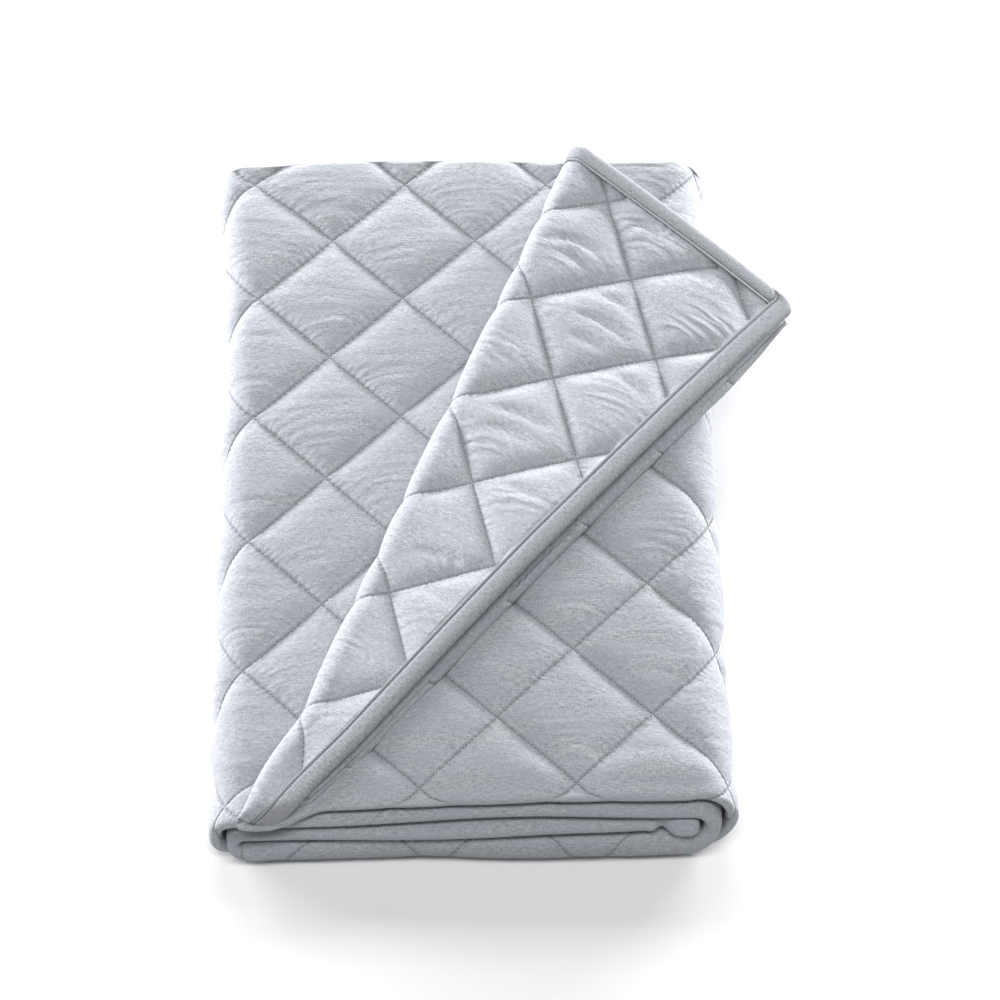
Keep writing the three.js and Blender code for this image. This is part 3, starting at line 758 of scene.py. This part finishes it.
# Hem: the upper ply's free end, turned under in a soft roll that bulges out below the tape, with a
# stitched groove beside the tape, and pinched where the ply's seams run over it.
HEM_PINCH, HEM_FROM = 116.0, -28.0  # from pinch to pinch along the end, and the first one's place
PINCH_WIDE, PINCH_DEEP = 6.0, 0.9
HEM_WRINKLE = 0.4  # depth of the wrinkles along it
HEM_THICK = 0.6  # of its cloth
HEM_STITCH = 5  # the point of its profile that is stitched
along_hem = np.linspace(HALF, TOP_BACK - TOP_FRONT - 1, 320)
hem_y = foot_y(along_hem, FOOT_LONGER)[:, None]
# distance out from the tape's edge at the widest, and height off the cloth's middle, from the top
hem_profile = np.array([
    (-8.0, 11.0), (-4.0, 11.0), (-1.5, 11.1), (-0.4, 11.8), (0.2, 12.8), (0.8, 13.1), (1.4, 12.6),
    (2.2, 12.6), (3.4, 13.2), (4.6, 14.2), (5.8, 15.7), (6.8, 17.4), (7.5, 19.3), (7.9, 21.2),
    (7.8, 22.4), (7.0, 23.0), (4.5, 23.2),
])
hem_arc = np.concatenate([[0], np.cumsum(np.hypot(*np.diff(hem_profile, axis=0).T))]) - 2.0
pinch = (hem_y - HEM_FROM - 0.5 * hem_arc) / HEM_PINCH
from_pinch = np.abs(pinch - np.round(pinch)) * HEM_PINCH
hem_puff = 1 - np.exp(-((from_pinch / PINCH_WIDE) ** 2))


def hem_side(thick):
    """The hem's profile carried along the free end, thinner by thick: narrower towards its ends,
    drawn in by the seams, and wrinkled along its length."""
    out, n = hem_profile.T
    narrow = smooth(END_Y - hem_y, 0, 130) * smooth(hem_y - TOP_FRONT, -60, 190)
    wrinkle = HEM_WRINKLE * gathered(1.3 * along_hem[:, None] + 2 * hem_arc)
    draw = PINCH_DEEP * (1 - hem_puff) * smooth(out, 1, 4) * (1 - smooth(n, 15, 21)) + wrinkle + thick
    across = out * (0.45 + 0.55 * narrow) - 0.5 * draw * smooth(out, 3, 9)
    at_tip = 0.15 + 0.85 * smooth(END_Y - hem_y, 4, 60)
    n = 6 + (n - 6) * (0.5 + 0.5 * narrow) * at_tip + draw * (1 - smooth(n, 14, 21))
    return settled(*turned_back(hem_y, reach(hem_y, 1) + across, n, 1.0))


def band(name, outer, inner, attributes):
    """A closed band: two grids of points, its outer and inner side, joined round their edges."""
    rows, across = outer.shape[:2]
    a = np.arange(rows * across).reshape(rows, across)
    b = a + a.size
    faces = [lattice(a), lattice(b)[:, ::-1], between(b[:, 0], a[:, 0]), between(a[:, -1], b[:, -1]),
             between(a[0], b[0])[:, ::-1], between(b[-1], a[-1])[:, ::-1]]
    both = {key: np.concatenate([values.reshape(-1, 3)] * 2) for key, values in attributes.items()}
    points = np.concatenate([outer.reshape(-1, 3), inner.reshape(-1, 3)])
    return piece(name, points, np.concatenate(faces), both)


hem_cloth = np.stack(np.broadcast_arrays(along_hem[:, None], hem_arc, 0.0), -1)
hem_seam = np.stack([pinch, (hem_arc - hem_arc[HEM_STITCH]) / SIDE + 0 * pinch, 0 * pinch + 1], -1)
hem = band("end_hem", hem_side(0.0)[::-1], hem_side(HEM_THICK)[::-1],
           {"cloth": hem_cloth[::-1], "seam": hem_seam[::-1]})
hem.data.materials.append(cotton)
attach(hem, "root")


# Bindings: a woven tape folded over the under ply's edges and topstitched near its inner edge.
# One runs along the back edge of the whole roll, the other along the free end, over the first.
TAPE_CLEAR = 0.3  # gap between the tape and the cloth in it
LIP = 3.5  # from the tape's inner edge to its topstitching
END_WEAVE = 900.0  # the end tape's weave is counted from here, so that it differs from the side one's
TAPE_MIDDLE = 8  # the point of the outer side that the tape's length is measured along
tape_face = MARGIN + TAPE_CLEAR  # its two halves, off the cloth's middle
tape_back = 2.4
# distance in from the cloth's edge, and height off the cloth's middle, of the tape's outer side
tape_outer = np.array(
    [(18.0, tape_face + 0.2), (17.8, tape_face + 1.3), (17.2, tape_face + 1.8), (16.3, tape_face + 1.8),
     (15.2, tape_face + 1.3), (14.5, tape_face + 0.4), (13.8, tape_face + 1.3), (12.6, tape_face + 1.9)]
    + [(d, tape_face + 2.1 + 0.25 * math.sin(math.pi * d / 13)) for d in (10, 7.5, 5, 2.5)]
    + [(0.2, tape_face + 1.8), (-1.6, tape_face + 0.9), (-2.8, tape_face - 0.9), (-3.1, tape_face - 2.7),
       (-2.4, tape_back + 0.6), (-0.4, tape_back - 0.9), (5.0, tape_back - 1.2), (11.0, tape_back - 1.2),
       (18.0, tape_back - 1.2)])
tape_inner = np.array(
    [(18.0, tape_face), (17.7, tape_face), (17.1, tape_face), (16.2, tape_face), (15.2, tape_face),
     (14.5, tape_face), (13.8, tape_face), (12.6, tape_face)]
    + [(d, tape_face) for d in (10, 7.5, 5, 2.5)]
    + [(0.9, tape_face), (0.2, tape_face), (-0.2, tape_face - 0.6), (-0.3, tape_face - 2.0),
       (-0.2, tape_back + 0.4), (0.6, tape_back), (5.0, tape_back), (11.0, tape_back), (18.0, tape_back)])

# Cotton tape, woven flat: matt and a little smoother than the quilt, with fine cross threads and
# a sunk topstitch beside its inner edge, and painted shade darkening that edge where it meets the quilt.
webbing = bpy.data.materials.new("woven_cotton_tape")
webbing.use_nodes = True
tree = webbing.node_tree
shader = tree.nodes["Principled BSDF"]
cloth = add(tree, "Attribute", attribute_name="cloth").outputs["Vector"]
place = add(tree, "Mapping", {"Vector": cloth, "Scale": (1 / 1.1, 1 / 4.0, 1)}).outputs[0]
threads = add(tree, "TexNoise", {"Vector": place, "Scale": 1.0, "Detail": 2.0}).outputs[0]
yarns = add(tree, "ValToRGB", {0: threads})
for stop, share, colour in zip(yarns.color_ramp.elements, (0.3, 0.7), ("#72747a", "#989a9e")):
    stop.position, stop.color = share, linear(colour)
inwards = add(tree, "SeparateXYZ", {0: cloth}).outputs[1]
d = add(tree, "Math", {0: inwards, 1: TAPE_WIDTH - LIP}, operation="SUBTRACT").outputs[0]
d = add(tree, "Math", {0: d}, operation="ABSOLUTE").outputs[0]
line = add(tree, "MapRange", {0: d, 1: 0.4, 2: 1.0, 3: 0.65, 4: 0.0}).outputs[0]
# painted shade: the tape's inner edge, where it dips down to the quilt, is darkened like the topstitch
painted_edge_shade = {0: inwards, 1: TAPE_WIDTH - 0.7, 2: TAPE_WIDTH - 0.2, 3: 0.0, 4: 0.75}
painted_edge_shade = add(tree, "MapRange", painted_edge_shade).outputs[0]
line = add(tree, "Math", {0: line, 1: painted_edge_shade}, operation="MAXIMUM").outputs[0]
coloured = {0: line, 6: yarns.outputs[0], 7: linear("#54575c")}
coloured = add(tree, "Mix", coloured, data_type="RGBA").outputs[2]
tree.links.new(coloured, shader.inputs["Base Color"])
bump = add(tree, "Bump", {"Height": threads, "Strength": 0.4, "Distance": 0.001})
tree.links.new(bump.outputs[0], shader.inputs["Normal"])
shader.inputs["Roughness"].default_value = 0.9
shader.inputs["Specular IOR Level"].default_value = 0.25
shader.inputs["Sheen Weight"].default_value = 0.1
shader.inputs["Sheen Roughness"].default_value = 0.5

side_rows = [row for row, _, _ in groups[:-1]]
side_rows.append(top_rows(lambda y, u: reach(y, u) - TAPE_WIDTH - 0.2, np.array([99.0]), FOOT_LONGER))
side_lines = []
for profile in (tape_outer, tape_inner):
    lines = []
    for row in side_rows:
        one = np.ones((len(row["under"]), len(profile)))
        lines.append(row["at"](row["under"] - profile[:, 0], -profile[:, 1] * one, one))
    side_lines.append(np.concatenate(lines))
run = np.linalg.norm(np.diff(side_lines[0][:, TAPE_MIDDLE], axis=0), axis=1)
run = np.concatenate([[0], np.cumsum(run)]) * 1000
side_cloth = np.stack(np.broadcast_arrays(run[:, None], tape_outer[:, 0], 0.0), -1)
side_tape = band("side_tape", *side_lines, {"cloth": side_cloth})
side_tape.data.materials.append(webbing)
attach(side_tape, "root")
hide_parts("binding_side")

under_depth = TOP_BACK - TOP_FRONT + UNDER_PAST + FLAP_PAST
end_t = np.concatenate([places(np.array([[under_depth]]))[0], [under_depth + 1.5]])
end_y = foot_y(end_t, FOOT_LONGER)[:, None]
end_lines = []
for profile in (tape_outer, tape_inner):
    one = np.ones((len(end_t), len(profile)))
    line = turned_back(end_y, reach(end_y, 1) - profile[:, 0], -profile[:, 1] * one, one)
    end_lines.append(settled(*line)[::-1])
end_cloth = np.stack(np.broadcast_arrays(end_t[::-1, None], tape_outer[:, 0], END_WEAVE), -1)
end_tape = band("end_tape", *end_lines, {"cloth": end_cloth})
end_tape.data.materials.append(webbing)
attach(end_tape, "root")
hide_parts("binding_end")


# Floor: a wide sheet of pale matt paper that lies flat under the pad, a little below it so that the
# two faces don't meet.
FLOOR_HALF, FLOOR_Z = 6, -0.0006  # in metres
floor_mesh = bpy.data.meshes.new("floor")
floor_corners = [(FLOOR_HALF * x, FLOOR_HALF * y, FLOOR_Z) for x, y in ((-1, -1), (1, -1), (1, 1), (-1, 1))]
floor_mesh.from_pydata(floor_corners, [], [(0, 1, 2, 3)])
floor = bpy.data.objects.new("floor", floor_mesh)
bpy.context.scene.collection.objects.link(floor)
paper = bpy.data.materials.new("white_paper")
paper.use_nodes = True
paper.node_tree.nodes["Principled BSDF"].inputs["Base Color"].default_value = linear("#e6e6e6")
paper.node_tree.nodes["Principled BSDF"].inputs["Roughness"].default_value = 0.9
floor_mesh.materials.append(paper)


# Light: a wide soft box behind, one above and a little in front that leaves the creases between the
# folds dark, a weak one in front, a low strip on each side for the bright rims, and a dim room.
def lamp(name, place, aim, size, power):
    """A rectangular area light at a place, turned to face a point."""
    data = bpy.data.lights.new(name, "AREA")
    data.shape, data.size, data.size_y, data.energy = "RECTANGLE", size[0], size[1], power
    made = bpy.data.objects.new(name, data)
    away = np.array(place, float) - np.array(aim, float)
    flat = math.hypot(away[0], away[1])
    made.location = place
    made.visible_camera = False
    made.rotation_euler = (math.atan2(flat, away[2]), 0, math.atan2(away[0], -away[1]) if flat else 0)
    bpy.context.scene.collection.objects.link(made)


lamp("back", (0.0, 4.0, 3.8), (0, 0, 0.05), (4.4, 1.6), 172)
lamp("above", (0.0, -1.05, 3.5), (0, 0, 0.05), (3.0, 1.0), 93)
lamp("front", (0.0, -2.5, 1.1), (0, -0.3, 0.05), (2.4, 0.6), 7)
lamp("left_side", (-2.7, 1.7, 0.4), (0, 0, 0.07), (2.0, 0.6), 260)
lamp("right_side", (2.1, 2.6, 0.4), (0, 0, 0.07), (2.0, 0.6), 325)
world = bpy.data.worlds.new("room")
world.use_nodes = True
world.node_tree.nodes["Background"].inputs["Color"].default_value = linear("#f2f4f8")
world.node_tree.nodes["Background"].inputs["Strength"].default_value = 0.13
bpy.context.scene.world = world
bpy.context.scene.view_settings.view_transform = "Standard"


# Camera: from the front and well above, as in the photograph, with a long lens a few metres away
# that is turned to the middle of the pad.
ELEVATION, YAW, DISTANCE = math.radians(55.95), math.radians(0.836), 3.9
camera = bpy.data.objects.new("camera", bpy.data.cameras.new("camera"))
camera.data.sensor_width, camera.data.lens = 36.0, 139.56
AIM_X, AIM_Y, AIM_Z = 32.6, 27.9, 50.0  # in mm
target = np.array([AIM_X + SHIFT_X, AIM_Y + SHIFT_Y, AIM_Z]) / 1000
level = math.cos(ELEVATION)
ahead = np.array([math.sin(YAW) * level, math.cos(YAW) * level, -math.sin(ELEVATION)])
camera.location = target - ahead * DISTANCE
camera.rotation_euler = (math.pi / 2 - ELEVATION, 0, -YAW)
bpy.context.scene.collection.objects.link(camera)
bpy.context.scene.camera = camera
